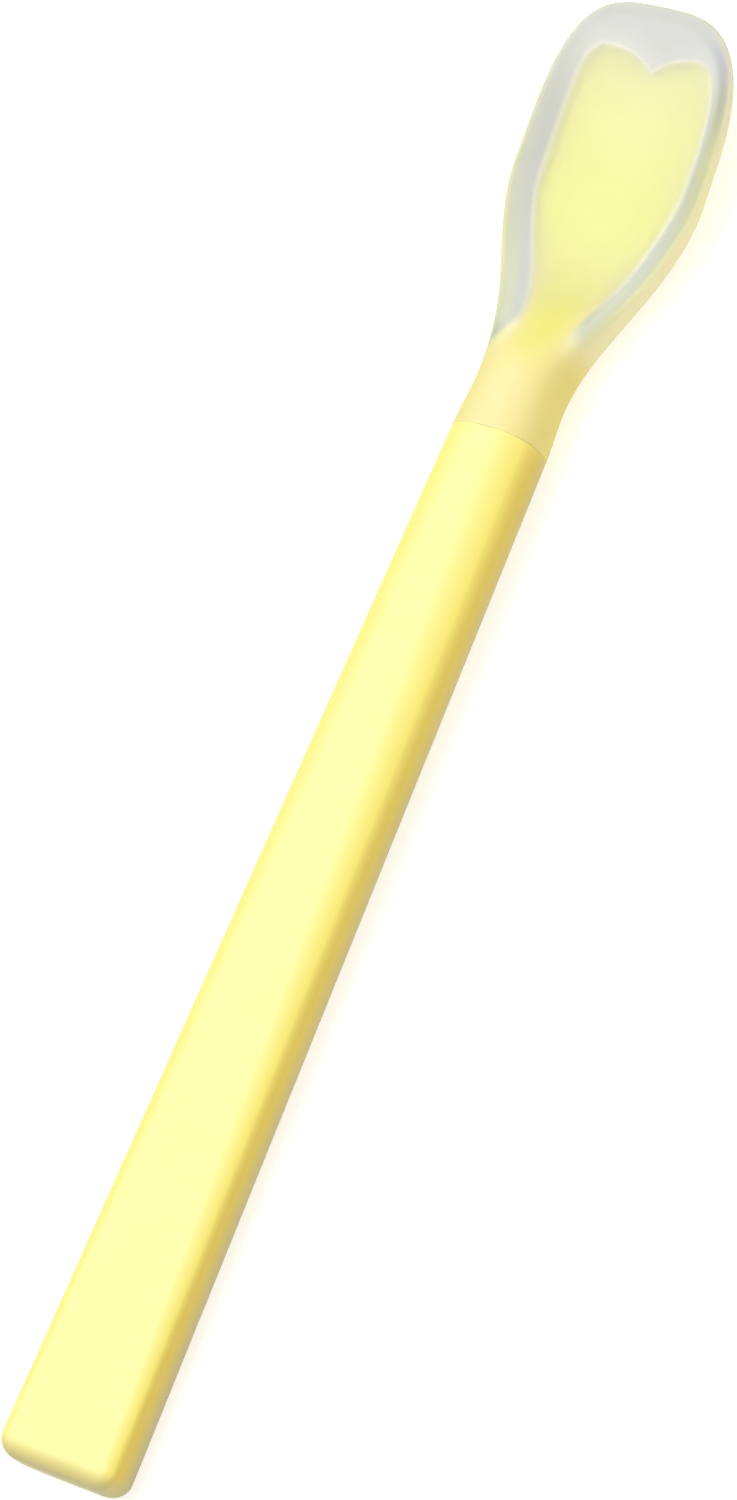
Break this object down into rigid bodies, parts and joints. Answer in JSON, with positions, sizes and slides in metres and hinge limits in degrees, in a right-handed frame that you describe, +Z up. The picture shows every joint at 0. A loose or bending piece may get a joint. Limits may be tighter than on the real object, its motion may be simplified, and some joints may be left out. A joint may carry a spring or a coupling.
{
  "type": "silicone spoon",
  "caption": "Long slim feeding spoon: tapering flat-topped plastic handle, translucent silicone bowl with a soft rounded rim, moulded over a stiff coloured core with a lobed front.",
  "frame": {"origin": "centre of the bounding box in plan, on the table plane the handle's flat underside rests on", "axes": "+X along the spoon from the butt of the handle to the tip of the bowl, +Z up out of the open bowl, +Y to the left"},
  "size_m": [0.165, 0.0222, 0.0104],
  "materials": {
    "handle_plastic": "satin, fine grain",
    "core_plastic": "satin, seen through the silicone",
    "silicone": "milky translucent, soft satin"
  },
  "bodies": {
    "root": {"handle": "handle_plastic", "core": "core_plastic", "silicone_bowl": "silicone"}
  },
  "joints": []
}
